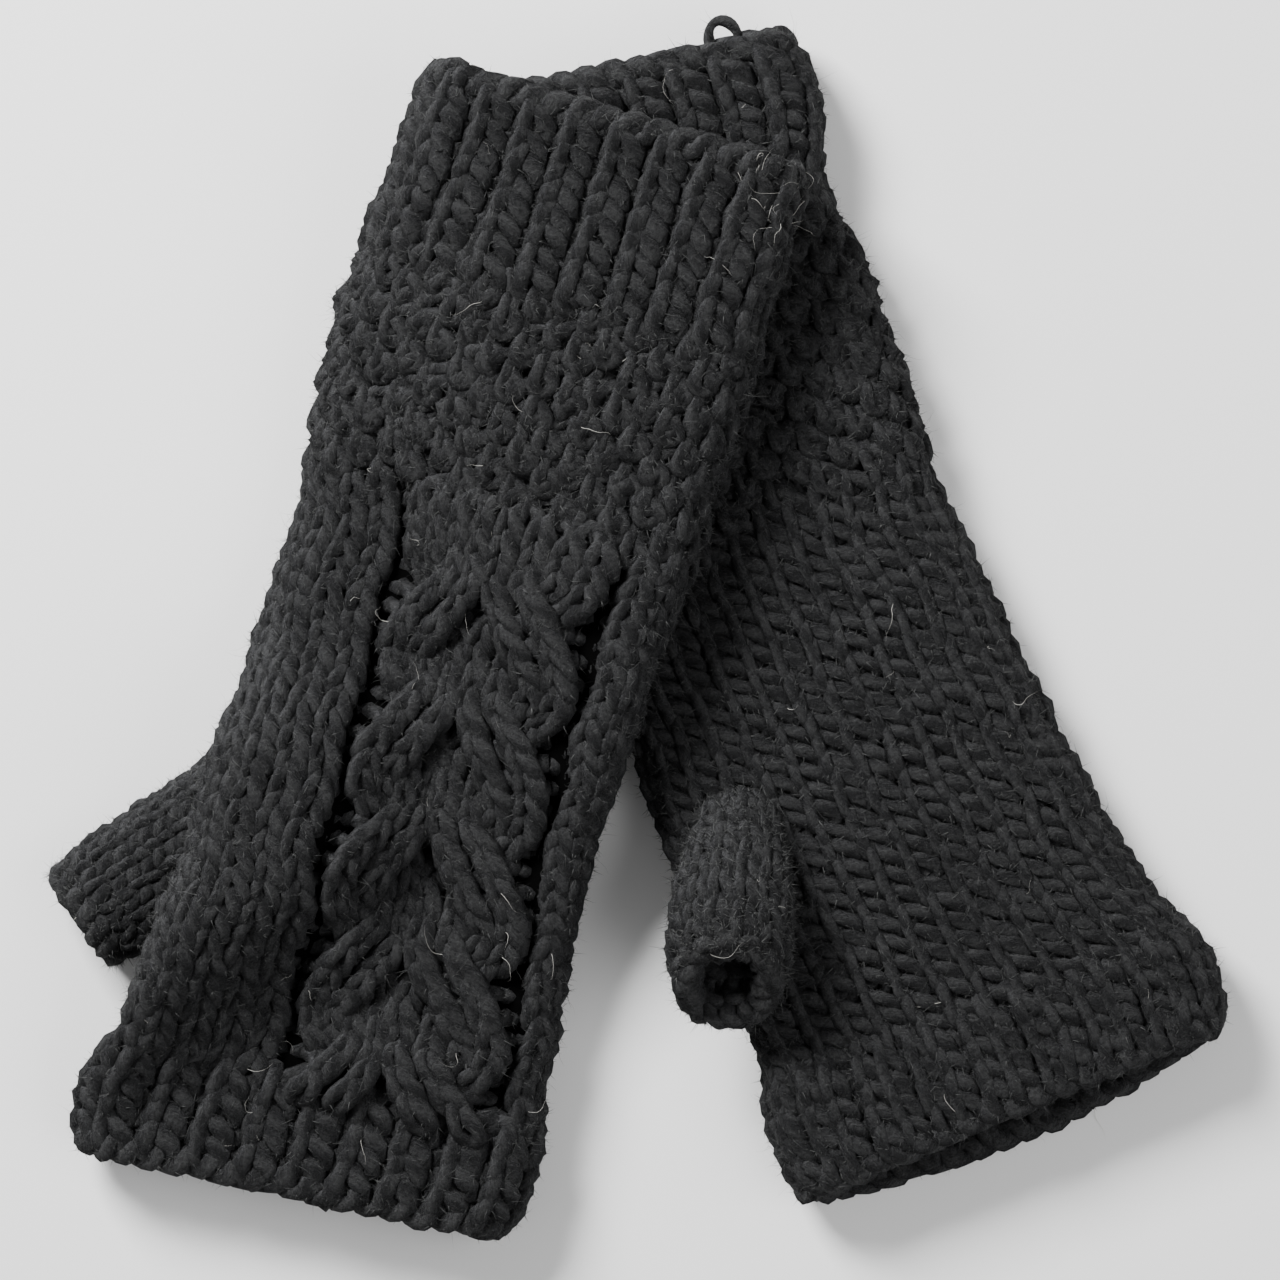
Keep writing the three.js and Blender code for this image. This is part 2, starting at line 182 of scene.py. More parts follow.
right = Mitt(
    "right", False, (-6.5, 122.7), 21,
    [
        (0, -0.6, 42.2, 0.155), (16, -1.4, 42.4, 0.14), (36, -5.9, 41.6, 0.1),
        (68, -6.3, 44.7, 0.04), (114, -7.4, 43.6, 0), (171, -4.4, 45.8, 0), (208, -0.7, 48, 0),
        (230, 0.9, 52.6, -0.02), (LENGTH, 0.9, 51.6, -0.03),
    ],
    [(-30, 157, 10), (-35, 169, 21), (-41, 181, 32.4), (-47.6, 195.5, 33)], 10.4,
)
left = Mitt(
    "left", True, (-5.5, 111.2), -16.45,
    [
        (0, 0.6, 43.2, 0), (25, 0.4, 43.6, 0), (58, -0.4, 46.4, 0), (90, -0.2, 44.9, 0),
        (132, -0.6, 43.8, 0), (178, -1.1, 44.7, 0), (221, -0.7, 49, -0.05),
        (234, -0.9, 50.6, -0.07), (LENGTH, -0.9, 48.6, -0.08),
    ],
    [(-29, 158, 26), (-36, 169, 19.5), (-48, 183, 9.9), (-62, 200, 9.7)], 9.0,
)


def lift_of_left(spot):
    """How high the left mitt is held by the right one and by its own thumb."""
    x, s = right.local(spot)
    row = np.clip(s, 0, LENGTH)
    inside = right.half_width(row) - np.abs(x - right.centre(row))
    lift = HEIGHT + LAYER_GAP
    over_right = lift * smooth_step(*DRAPE_SIDE, inside) * smooth_step(*DRAPE_CUFF, s)
    start, end = left.thumb_line()
    reach = np.clip((spot - start) @ (end - start) / ((end - start) @ (end - start)), 0, 1)
    distance = np.linalg.norm(spot - start - reach[..., None] * (end - start), axis=-1)
    lift = 2 * left.thumb_half_height + LAYER_GAP
    over_thumb = lift * smooth_step(*DRAPE_THUMB, -distance)
    return np.hypot(over_right, over_thumb)


left.lift = lift_of_left
right.back_lip = 7.0

# ---- Charcoal wool -------------------------------------------------------------------------------
# Thick two-ply wool, dyed charcoal. The plies twist round each other, the fibres lie nearly
# along the yarn, and a short fuzz catches the light.
PLY_TURNS = 60.0  # turns of the plies in a metre of yarn
# How strongly the fibres, the plies, soft clouds and fine specks show in the tone and stand up.
# The plies' tone makes the grooves between them darker, which is painted shade.
FIBRE_TONE, PLY_GROOVE_SHADE, CLOUD_TONE, SPECK_TONE = 2.0, 1.1, 0.6, 3.6
DARKEST_TONE, LIGHTEST_TONE = 3.40, 4.75
PLY_RELIEF, FIBRE_RELIEF, SPECK_RELIEF = 0.8, 1.5, 3.0


class Shade:
    """A shader socket. Sums and products of sockets add Math nodes."""

    def __init__(self, tree, socket=None):
        self.tree = tree
        self.socket = socket

    def node(self, kind, inputs=(), output=0, **settings):
        """Adds a node with its settings and the values or links of its sockets."""
        made = self.tree.nodes.new(kind)
        for name, setting in settings.items():
            setattr(made, name, setting)
        for name, given in dict(inputs).items():
            if isinstance(given, Shade):
                self.tree.links.new(given.socket, made.inputs[name])
            else:
                made.inputs[name].default_value = given
        return Shade(self.tree, made.outputs[output])

    def maths(self, operation, other=0.0):
        return self.node("ShaderNodeMath", {0: self, 1: other}, operation=operation)

    def __mul__(self, other):
        return self.maths("MULTIPLY", other)

    def __add__(self, other):
        return self.maths("ADD", other)

    __rmul__ = __mul__
    __radd__ = __add__


def wool(name, dark, light):
    material = bpy.data.materials.new(name)
    material.use_nodes = True
    tree = material.node_tree
    surface = tree.nodes["Principled BSDF"]
    surface.inputs["Roughness"].default_value = 0.95
    surface.inputs["Specular IOR Level"].default_value = 0.12
    surface.inputs["Sheen Weight"].default_value = 0.08
    surface.inputs["Sheen Roughness"].default_value = 0.45
    surface.inputs["Sheen Tint"].default_value = (0.75, 0.76, 0.8, 1)
    shade = Shade(tree)
    yarn = shade.node("ShaderNodeUVMap", uv_map="yarn")
    parts = shade.node("ShaderNodeSeparateXYZ", {0: yarn})
    around = Shade(tree, parts.socket.node.outputs["X"])
    length = Shade(tree, parts.socket.node.outputs["Y"])
    turn = around + length * PLY_TURNS
    ply = (turn * (2 * math.pi)).maths("COSINE").maths("ABSOLUTE")
    strand = shade.node("ShaderNodeCombineXYZ", {"X": turn * 20.0, "Y": length * 300.0})
    fibre = shade.node(
        "ShaderNodeTexNoise", {"Vector": strand, "Scale": 1.0, "Detail": 3.0, "Roughness": 0.75}
    )
    place = shade.node("ShaderNodeTexCoord", output="Object")
    cloud = shade.node("ShaderNodeTexNoise", {"Vector": place, "Scale": 380.0, "Detail": 4.0})
    speck = shade.node(
        "ShaderNodeTexNoise",
        {"Vector": place, "Scale": 1250.0, "Detail": 5.0, "Roughness": 0.75},
    )
    # The ply term paints the grooves between the plies darker: painted shade.
    tone = fibre * FIBRE_TONE + ply * PLY_GROOVE_SHADE + cloud * CLOUD_TONE + speck * SPECK_TONE
    ramp = shade.node(
        "ShaderNodeMapRange",
        {"Value": tone, "From Min": DARKEST_TONE, "From Max": LIGHTEST_TONE},
    )
    colour = shade.node(
        "ShaderNodeMix", {"Factor": ramp, 6: (*dark, 1), 7: (*light, 1)}, output=2,
        data_type="RGBA",
    )
    relief = ply * PLY_RELIEF + fibre * FIBRE_RELIEF + speck * SPECK_RELIEF
    bump = shade.node(
        "ShaderNodeBump", {"Height": relief, "Distance": 1.0 * MM, "Strength": 1.0}
    )
    tree.links.new(colour.socket, surface.inputs["Base Color"])
    tree.links.new(bump.socket, surface.inputs["Normal"])
    return material


charcoal = wool("charcoal_wool", (0.0004, 0.0004, 0.0004), (0.040, 0.0404, 0.0404))
edge_charcoal = wool("edge_wool", (0.0010, 0.0010, 0.0010), (0.050, 0.0505, 0.0505))

# ---- Knitting ------------------------------------------------------------------------------------
# A course is one row of loops. The yarn runs up one leg of each loop, over its head and down the
# other leg; a knit loop has its legs in front and a purl loop has them behind.
STEPS = 16  # steps of yarn in a loop
SIDES = 8  # sides of the yarn's tube
PHASE = np.linspace(-math.pi, math.pi, STEPS + 1)
MIDDLE = -WALL / 2
# Where the yarn lies at each eighth of a loop: across its column, 0 to 1, and along it, -1 to 1.
# The twist in the yarn makes the first leg climb straight, as part of a cord in front, while the
# second one leans over and tucks its end under the next column's cord.
LOOP_ACROSS = (0, 0.22, 0.165, 0.13, 0.48, 0.90, 0.64, 0.33, 1)
LOOP_ALONG = (-1, -0.72, 0, 0.72, 1, 0.58, 0.08, -0.45, -1)
# The same for a loop whose two legs make an even V.
EVEN_ACROSS = (0, 0.38, 0.24, 0.12, 0.5, 0.88, 0.76, 0.62, 1)
EVEN_ALONG = (-1, -0.62, 0, 0.66, 1, 0.66, 0, -0.62, -1)
# How far out, in swings, a loop's base and legs lie, and how much the cord leg stands above the
# other.
KNIT_BASE, KNIT_LEG, PURL_LEG = 0.1, 1.0, -0.8
CORD_RISE = 0.32
LEG_LEAN = 0.12
# How far loops stray round, along and out, and how uneven loops and yarn are in thickness.
LOOP_STRAY = (0.3, 0.34, 0.2)
LOOP_UNEVEN = 0.05
YARN_UNEVEN = 0.035
LOOP_REACH = 1.08  # half a loop's length, in rows
# How deep the grooves between the plies are, and how squashed the yarn is, out and across.
PLY_DEPTH = 0.17
YARN_SQUASH = (0.94, 1.05)
FUZZ_FACING = 0.2
rng = np.random.default_rng(11)
surface_samples = {}


def refine(keys, before, after):
    """Puts one more value between each two keys, on a smooth curve."""
    wide = np.concatenate([before, keys, after], -1)
    middle = (9 * (wide[..., 1:-2] + wide[..., 2:-1]) - wide[..., :-3] - wide[..., 3:]) / 16
    fine = np.empty(keys.shape[:-1] + (2 * keys.shape[-1] - 1,))
    fine[..., ::2] = keys
    fine[..., 1::2] = middle
    return fine


def course(
    tracks, widths, knit, next_knit, s_row, reach, lofts, surface, around, swing=1.5, loose=1.0,
    bump=0.95, even=0.0,
):
    """Points (b, s, out) of the loops of a course, and how thick the yarn is at each."""
    count = len(widths)
    knit = np.asarray(knit, float) * 2 - 1
    next_knit = np.asarray(next_knit, float) * 2 - 1
    stray = loose * rng.normal(0, 1, (count, 3)) * LOOP_STRAY
    keys = np.array(LOOP_ACROSS) * (1 - even) + np.array(EVEN_ACROSS) * even
    across = refine(keys, keys[-2:-1] - 1, keys[1:2] + 1) - 0.5
    keys = np.array(LOOP_ALONG) * (1 - even) + np.array(EVEN_ALONG) * even
    climb = refine(keys, keys[-2:-1], keys[1:2])
    if surface.hand < 0:
        across, climb = -across[::-1], climb[::-1]
    s = s_row + reach * climb[None, :] + stray[:, 1:2]
    b = tracks(s) + np.asarray(widths, float)[:, None] * across + stray[:, :1]
    base = np.where(knit > 0, KNIT_BASE, bump)
    leg = np.where(knit > 0, KNIT_LEG, PURL_LEG)
    shoulder = np.clip((0.9 * knit - next_knit) / 2 + 0.3 * knit, -1, 1)
    head = np.where(knit == next_knit, -next_knit, -0.5 * next_knit)
    cord = CORD_RISE * (1 - even) * (knit > 0) * surface.hand
    keys = np.stack([
        -(knit + np.roll(knit, 1)) / 2, base + cord, leg + cord, shoulder + cord, head,
        shoulder - cord, leg - cord, base, -(knit + np.roll(knit, -1)) / 2,
    ], 1)
    out = refine(keys, keys[:, 1:2], keys[:, -2:-1])
    out = MIDDLE + lofts(s) + swing * out + stray[:, 2:]
    lean = LEG_LEAN * surface.hand * np.sin(PHASE)[None, :]
    thick = 1 + lean + rng.normal(0, LOOP_UNEVEN, (count, 1)) + rng.normal(0, YARN_UNEVEN, s.shape)
    points = np.stack([b, s, out, thick], -1)
    # Neighbouring loops are drawn together until their ends meet.
    before = np.roll(points[:, -1], 1, axis=0)
    after = np.roll(points[:, 0], -1, axis=0)
    before[0, 0] -= around
    after[-1, 0] += around
    fade = np.clip(1 - 4 * np.arange(STEPS + 1) / STEPS, 0, 1) ** 2
    points += fade[None, :, None] * ((before - points[:, 0]) / 2)[:, None]
    points += fade[::-1][None, :, None] * ((after - points[:, -1]) / 2)[:, None]
    return points


class Yarn:
    """Lengths of yarn gathered into one piece."""

    def __init__(self, thickness):
        self.radius = thickness / 2
        self.places, self.faces, self.roots, self.normals = [], [], [], []
        self.count = 0

    def lay(self, surface, points, closed=False):
        """Lays yarn through points (b, s, out, thickness) of a surface."""
        b, s, out, thick = points.T
        place = surface(b, s, out)
        lean = surface(b, s, out + 0.5) - surface(b, s, out - 0.5)
        if closed:
            ahead = np.roll(place, -1, 0) - np.roll(place, 1, 0)
        else:
            ahead = np.gradient(place, axis=0)
        ahead /= np.linalg.norm(ahead, axis=1, keepdims=True)
        side = np.cross(ahead, lean)
        side /= np.linalg.norm(side, axis=1, keepdims=True)
        rise = np.cross(side, ahead)
        stretch = np.linalg.norm(np.diff(place, axis=0), axis=1)
        length = np.concatenate([[0], np.cumsum(stretch)])
        angle = 2 * math.pi * np.arange(SIDES) / SIDES
        twist = 2 * math.pi * PLY_TURNS * length[:, None]
        plies = 1 + PLY_DEPTH * np.cos(2 * (angle[None, :] + twist))
        radius = self.radius * MM * thick[:, None, None] * plies[..., None]
        ring = YARN_SQUASH[0] * np.cos(angle)[None, :, None] * rise[:, None]
        ring = ring + YARN_SQUASH[1] * np.sin(angle)[None, :, None] * side[:, None]
        rings = place[:, None] + radius * ring
        facing = FUZZ_FACING * np.linalg.norm(lean, axis=1)[:, None]
        outer = (ring @ lean[:, :, None])[..., 0] > facing
        outer &= (out > MIDDLE - 0.5)[:, None]
        self.places.append(rings.reshape(-1, 3))
        self.roots.append(rings[outer])
        self.normals.append(ring[outer])
        self.join(rings, length, closed)

    def join(self, rings, length, closed):
        """Joins rings of points into a closed tube, with the yarn's length in its UV map."""
        count = len(rings)
        rows = count if closed else count - 1
        r = np.arange(rows)[:, None]
        c = np.arange(SIDES)[None, :]
        corners = [(r, c), (r, c + 1), (r + 1, c + 1), (r + 1, c)]
        quads = np.stack([(row % count) * SIDES + side % SIDES for row, side in corners], -1)
        offset = rng.uniform(0, 1)
        stations = np.append(length, 2 * length[-1] - length[-2]) + offset
        uv = np.stack([
            np.stack([side / SIDES + 0 * row, stations[row] + 0 * side], -1)
            for row, side in corners
        ], 2)
        self.faces.append((quads.reshape(-1, 4) + self.count, uv.reshape(-1, 2)))
        for row in () if closed else (0, count - 1):
            self.places.append(rings[row].mean(0)[None])
            ring = self.count + row * SIDES + np.arange(SIDES + 1) % SIDES
            hub = np.full(SIDES, self.count + count * SIDES + (row > 0))
            near, far = (ring[1:], ring[:-1]) if row == 0 else (ring[:-1], ring[1:])
            self.faces.append((np.stack([hub, near, far], 1), np.full((3 * SIDES, 2), offset)))
        self.count += count * SIDES + (0 if closed else 2)

    def knit(self, surface, points, keep, closed):
        """Lays a course, leaving out the loops that aren't kept."""
        if keep.all():
            path = points[:, :-1].reshape(-1, 4)
            if not closed:
                path = np.concatenate([path, points[-1, -1:]])
            self.lay(surface, path, closed)
            return
        edges = np.flatnonzero(np.diff(np.concatenate([[0], keep.astype(int), [0]])))
        for first, last in zip(edges[::2], edges[1::2]):
            path = np.concatenate([points[first:last, :-1].reshape(-1, 4), points[last - 1, -1:]])
            self.lay(surface, path)

    def piece(self, name, material):
        """Makes all the yarn laid so far into one object."""
        places = np.concatenate(self.places)
        mesh = bpy.data.meshes.new(name)
        loops = np.concatenate([faces.reshape(-1) for faces, _ in self.faces])
        sizes = np.concatenate([np.full(len(faces), faces.shape[1]) for faces, _ in self.faces])
        mesh.vertices.add(len(places))
        mesh.vertices.foreach_set("co", places.ravel())
        mesh.loops.add(len(loops))
        mesh.loops.foreach_set("vertex_index", loops.astype(np.int32))
        mesh.polygons.add(len(sizes))
        starts = np.concatenate([[0], np.cumsum(sizes)[:-1]])
        mesh.polygons.foreach_set("loop_start", starts.astype(np.int32))
        mesh.polygons.foreach_set("use_smooth", np.ones(len(sizes), bool))
        layer = mesh.uv_layers.new(name="yarn")
        layer.data.foreach_set("uv", np.concatenate([uv for _, uv in self.faces]).ravel())
        mesh.update(calc_edges=True)
        mesh.materials.append(material)
        made = bpy.data.objects.new(name, mesh)
        bpy.context.collection.objects.link(made)
        return made


def settle(made, yarn, body, nodes):
    """Ties a finished piece to its body, hides the frame nodes that it stands for, and keeps its
    surface for the fuzz.
    """
    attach(made, body)
    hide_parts(*nodes)
    kept = surface_samples.setdefault(body, [])
    kept.append((np.concatenate(yarn.roots), np.concatenate(yarn.normals)))


def ring_tracks(mitt, shares):
    """Columns that keep their share of the way round as the tube widens and narrows."""
    return lambda s: np.asarray(shares)[:, None] * 2 * mitt.half_round(np.clip(s, 0, LENGTH))


def flat_loft(s):
    return np.zeros_like(s)


# ---- Cast-on and bound-off edges -----------------------------------------------------------------
# The first and last rows are chains of yarn that run round the tube's rim, so two strands lie
# twisted along each rim.
EDGE_PITCH = 11.0
EDGE_STEPS = 12
EDGE_TWIST = (0.8, 1.55, 1.5)  # how far a strand swings round, along and out
EDGES = {"cast_on_edge": (2.4, 4.1), "finger_bind_off_edge": (242.6, 4.3)}


def rim(mitt, s_rim, thickness):
    """Two strands twisted together along the rim of a tube at s_rim."""
    yarn = Yarn(thickness)
    around = 2 * float(mitt.half_round(s_rim))
    turns = round(around / EDGE_PITCH)
    steps = turns * EDGE_STEPS
    angle = 2 * math.pi * np.arange(steps) / steps
    for strand in (0, math.pi):
        twist = turns * angle + strand
        uneven = 0.25 * np.sin(5 * angle + strand) + 0.2 * np.sin(11 * angle + 1)
        b = around * angle / (2 * math.pi) + EDGE_TWIST[0] * np.sin(2 * twist)
        s = s_rim + EDGE_TWIST[1] * np.cos(twist) + uneven
        out = MIDDLE + EDGE_TWIST[2] * np.sin(twist) + uneven / 2
        thick = 1 + 0.05 * np.sin(7 * angle + strand)
        yarn.lay(mitt.point, np.stack([b, s, out, thick], 1), closed=True)
    return yarn


for mitt in (left, right):
    for name, (s_rim, thickness) in EDGES.items():
        yarn = rim(mitt, s_rim, thickness)
        made = yarn.piece(f"{mitt.name}_{name}_yarn", edge_charcoal)
        settle(made, yarn, f"{mitt.name}_mitt", [f"{mitt.name}_{name}"])

# ---- Ribs ----------------------------------------------------------------------------------------
# The cuffs and the left finger end are one knit, one purl, and the right finger end is two knit,
# one purl. The knit columns close up over the purl ones, which show only as dark grooves.
# A rib is its columns' shares of the width, knit ones first and one purl last.
SINGLE_RIB = (0.80, 0.20)
DOUBLE_RIB = (0.42, 0.42, 0.16)
RIB_RISE = 1.0
RIB_GROOVE = -1.9
# Mitt, zone, where it starts and ends, rows, ribs, kind of rib and thickness of yarn.
RIB_ZONES = [
    (left, "cuff_rib", 4.0, 41.5, 8, 20, SINGLE_RIB, 4.0),
    (right, "cuff_rib", 4.0, 41.5, 8, 20, SINGLE_RIB, 4.0),
    (left, "finger_rib", 221.0, 241.0, 4, 21, SINGLE_RIB, 4.2),
    (right, "finger_rib", 221.0, 241.0, 4, 18, DOUBLE_RIB, 3.5),
]

for mitt, name, start, end, rows, ribs, rib, thickness in RIB_ZONES:
    yarn = Yarn(thickness)
    rib = np.array(rib)
    shares = (np.arange(ribs)[:, None] + np.cumsum(rib) - rib / 2).ravel() / ribs
    knit = np.tile(np.arange(len(rib)) < len(rib) - 1, ribs)
    pitch = (end - start) / rows
    for row in range(rows):
        s_row = start + pitch * (row + 0.5)
        around = 2 * float(mitt.half_round(s_row))
        loft = np.where(knit, RIB_RISE, RIB_GROOVE)[:, None]
        points = course(
            ring_tracks(mitt, shares), np.tile(rib, ribs) * around / ribs, knit, knit, s_row,
            LOOP_REACH * pitch, lambda s: loft + flat_loft(s), mitt, around,
        )
        yarn.knit(mitt.point, points, np.ones(len(knit), bool), closed=True)
    made = yarn.piece(f"{mitt.name}_{name}_yarn", charcoal)
    settle(made, yarn, f"{mitt.name}_mitt", [f"{mitt.name}_{name}"])

# ---- Seed stitch bands ---------------------------------------------------------------------------
# Over the wrist every stitch is the other kind from the ones beside and above it, which makes an
# even field of small bumps.
SEED_COLUMNS = 36
SEED_YARN = 3.3
SEED_PITCH = 4.45
SEED_REACH = 0.98
SEED_START = 41.0
SEED_ENDS = {"left": 90.5, "right": 101.5}

for mitt in (left, right):
    yarn = Yarn(SEED_YARN)
    start, end = SEED_START, SEED_ENDS[mitt.name]
    rows = round((end - start) / SEED_PITCH)
    pitch = (end - start) / rows
    shares = (np.arange(SEED_COLUMNS) + 0.5) / SEED_COLUMNS
    for row in range(rows):
        knit = (np.arange(SEED_COLUMNS) + row) % 2 == 0
        s_row = start + pitch * (row + 0.5)
        around = 2 * float(mitt.half_round(s_row))
        points = course(
            ring_tracks(mitt, shares), np.full(SEED_COLUMNS, around / SEED_COLUMNS), knit, ~knit,
            s_row, SEED_REACH * pitch, flat_loft, mitt, around, swing=1.6, loose=1.8, bump=1.35,
        )
        yarn.knit(mitt.point, points, np.ones(SEED_COLUMNS, bool), closed=True)
    made = yarn.piece(f"{mitt.name}_seed_stitch_band_yarn", charcoal)
    settle(made, yarn, f"{mitt.name}_mitt", [f"{mitt.name}_seed_stitch_band"])

# ---- Hands: cable, back panels, palm and gusset --------------------------------------------------
# Plain knitting all round, with a cable between two purl grooves on the back. In each half of the
# cable the inner pair of columns crosses over the outer pair and out to the side, time and again.
HAND_END = 221.5
HAND_ROWS = {"left": 28, "right": 26}
GROUND_COLUMNS = 22
FIRST_CROSSING = 103.5
CROSSING_STEP = 26.4
CROSSING_COUNT = 6
CROSSING_LENGTH = 23.0
CROSSING_EASE = 1.7
CROSSING_OVER = 2.6
CROSSING_UNDER = -1.8
CABLE_LOBE = 1.8
CABLE_EDGES = [(90, -17.4, 26.5), (145, -14.2, 28), (HAND_END, -9.2, 37)]
CABLE_MIDDLE = [(90, 0.5), (145, 4), (HAND_END, 10.5)]
CABLE_RISE = 2.3
# The right mitt's back is underneath, where its cable is pressed flatter.
PRESSED = 0.4
# A cable column's place as a share of its half: where the first pair is, how far the second is
# from it and a column from its pair's middle, and how far a riding and a hidden pair close up.
PAIR_START, PAIR_STEP, COLUMN_STEP = 0.25, 0.5, 0.125
OVER_CLOSE, UNDER_CLOSE = 0.10, 0.17
GROOVE_WIDTH = 2.7
GROOVE_DEPTH = -4.2
GROOVE_BUMP = -0.5
HAND_REACH = 1.1
# How evenly the V of a loop is shared between its legs.
EVEN_SHARE = {"left": 0.75, "right": 0.0}
# The gusset's edge on the palm: its width at the wrist, and how much it widens and closes again.
GUSSET_START, GUSSET_WIDENS, GUSSET_CLOSES = 9, 38, 0.9
GUSSET_BACK_EDGE = 8


def cable_edge(mitt, s, column, sign):
    """The line of a cable's edge, which swings out at each lobe."""
    lobe = CABLE_LOBE * (1 - np.cos(2 * math.pi * (s - FIRST_CROSSING) / CROSSING_STEP)) / 2
    return mitt.back_line(s, along(CABLE_EDGES, column, s) + sign * lobe)


def crossing(s, group):
    """How far out a pair of columns lies, 0 to 1, and how far it rides over the other pair."""
    outward = np.full_like(s, group, dtype=float)
    over = np.zeros_like(s)
    for turn in range(CROSSING_COUNT):
        begin = FIRST_CROSSING + turn * CROSSING_STEP
        moved = 1 - (1 - np.clip((s - begin) / CROSSING_LENGTH, 0, 1)) ** CROSSING_EASE
        going_out = (group + turn) % 2 == 0
        outward = outward + (moved if going_out else -moved)
        ride = np.sin(math.pi * np.clip((s - begin) / CROSSING_LENGTH + 0.08, 0, 1)) ** 0.8
        over = over + (CROSSING_OVER if going_out else CROSSING_UNDER) * ride
    return outward, over


def gusset_palm_edge(s):
    widen = smooth_step(95, 164, s) - GUSSET_CLOSES * smooth_step(188, 218, s)
    return GUSSET_START + GUSSET_WIDENS * widen


THUMB_HALF_WIDTH = 14.8
THUMB_CLOSING = 9  # how far from its rim a thumb starts to close up
THUMB_INSIDE = 3.5  # how far within its outer face a thumb leaves the hand open
THUMB_SLICES = 24


class Thumb:
    """The thumb's tube, in millimetres: s runs along it from its root, b runs round it. slant
    leans its rim back, taper narrows the rim and root is its width at the root as a share."""

    hand = -1

    def __init__(self, mitt, slant, taper, root):
        spots = mitt.plan(mitt.thumb_path[:, 0], mitt.thumb_path[:, 1])
        self.path = np.column_stack([spots, mitt.thumb_path[:, 2]])
        steps = np.linalg.norm(np.diff(self.path, axis=0), axis=1)
        self.table = np.column_stack([np.concatenate([[0], np.cumsum(steps)]), self.path])
        self.length = self.table[-1, 0]
        self.half = (THUMB_HALF_WIDTH, mitt.thumb_half_height)
        self.slant = slant
        self.taper = taper
        self.root = root
        angle = np.linspace(0, 2 * math.pi, 181)
        oval = np.column_stack([self.half[0] * np.cos(angle), self.half[1] * np.sin(angle)])
        arc = np.concatenate([[0], np.cumsum(np.linalg.norm(np.diff(oval, axis=0), axis=1))])
        self.angle, self.arc = angle, arc
        self.around = arc[-1]

    def neck(self, s):
        """The share of the tube's full width that it has at s; it widens out of the hand."""
        return self.root + (1 - self.root) * smooth_step(0, 0.85 * self.length, s)

    def middle(self, s):
        """The tube's middle at s, and which ways are ahead, aside and up there."""
        row = np.clip(s, 0, self.length)
        spot = np.stack([along(self.table, k, row) for k in (1, 2, 3)], -1)
        step = 0.5
        ahead = np.stack([
            along(self.table, k, np.minimum(row + step, self.length))
            - along(self.table, k, np.maximum(row - step, 0)) for k in (1, 2, 3)
        ], -1)
        ahead = ahead / np.linalg.norm(ahead, axis=-1, keepdims=True)
        spot = spot + ahead * (s - row)[..., None]
        side = np.cross(np.array([0, 0, 1.0]), ahead)
        side = side / np.linalg.norm(side, axis=-1, keepdims=True)
        return spot, ahead, side, np.cross(ahead, side)

    def point(self, b, s, out):
        """Places in metres of yarn points given by b, s and out."""
        spot, ahead, side, up = self.middle(s)
        angle = np.interp(np.mod(b, self.around), self.arc, self.angle)
        share = np.clip(s / self.length, 0, 1)[..., None]
        closed = smooth_step(self.length - THUMB_CLOSING, self.length, s)[..., None]
        rise = ((self.half[1] + out) * np.sin(angle))[..., None] * (1 - 0.06 * closed)
        wide = ((self.half[0] * self.neck(s) + out) * np.cos(angle))[..., None]
        wide = wide * (1 - self.taper * closed)
        place = spot + side * wide + up * rise - ahead * self.slant * share ** 2 * rise
        return place * MM

    def inside(self, place):
        """Whether places, in millimetres, lie within the thumb's tube."""
        found = np.zeros(place.shape[:-1], bool)
        for s in np.linspace(0, self.length, THUMB_SLICES):
            spot, ahead, side, up = self.middle(np.array(s))
            gap = place - spot
            near = np.abs(gap @ ahead) < self.length / (THUMB_SLICES - 1)
            wide, high = self.half[0] * self.neck(s) - THUMB_INSIDE, self.half[1] - THUMB_INSIDE
            oval = (gap @ side / wide) ** 2 + (gap @ up / high) ** 2
            found |= near & (oval < 1)
        return found


thumbs = {"left": Thumb(left, 0.0, 0.12, 1.0), "right": Thumb(right, 1.05, 0.08, 0.68)}


def hand_tracks(mitt, order, s):
    """Column centres round the hand for loops at s, and their lofts above the plain ground."""
    inner = cable_edge(mitt, s, 1, -1)
    outer = cable_edge(mitt, s, 2, 1)
    middle = mitt.back_line(s, along(CABLE_MIDDLE, 1, s))
    whole = 2 * mitt.half_round(np.clip(s, 0, LENGTH))
    tracks, lofts = [], []
    for row, (kind, index) in enumerate(order):
        here = (np.s_[row],)
        if kind == "ground":
            start = outer[here] + GROOVE_WIDTH
            end = inner[here] + whole[here] - GROOVE_WIDTH
            tracks.append(start + (end - start) * (index + 0.5) / GROUND_COLUMNS)
            lofts.append(np.zeros_like(start))
        elif kind == "groove":
            edge = outer[here] + GROOVE_WIDTH / 2 if index else inner[here] - GROOVE_WIDTH / 2
            tracks.append(edge)
            lofts.append(np.full_like(edge, GROOVE_DEPTH))
        else:
            outward, over = crossing(s[here], index // 2)
            tight = np.clip(np.abs(over) / CROSSING_OVER, 0, 1)
            step = COLUMN_STEP if index % 2 else -COLUMN_STEP
            share = PAIR_START + PAIR_STEP * outward + step * (1 + 0.5 * tight)
            share = share - np.where(over > 0, OVER_CLOSE, UNDER_CLOSE) * tight
            reach = (middle - inner)[here] if kind == "thumb_half" else (outer - middle)[here]
            sign = -1 if kind == "thumb_half" else 1
            tracks.append(middle[here] + sign * share * reach)
            crown = CABLE_RISE if mitt.back_up else PRESSED
            lofts.append(over * (1 if mitt.back_up else PRESSED) + crown)
    return np.stack(tracks), np.stack(lofts)


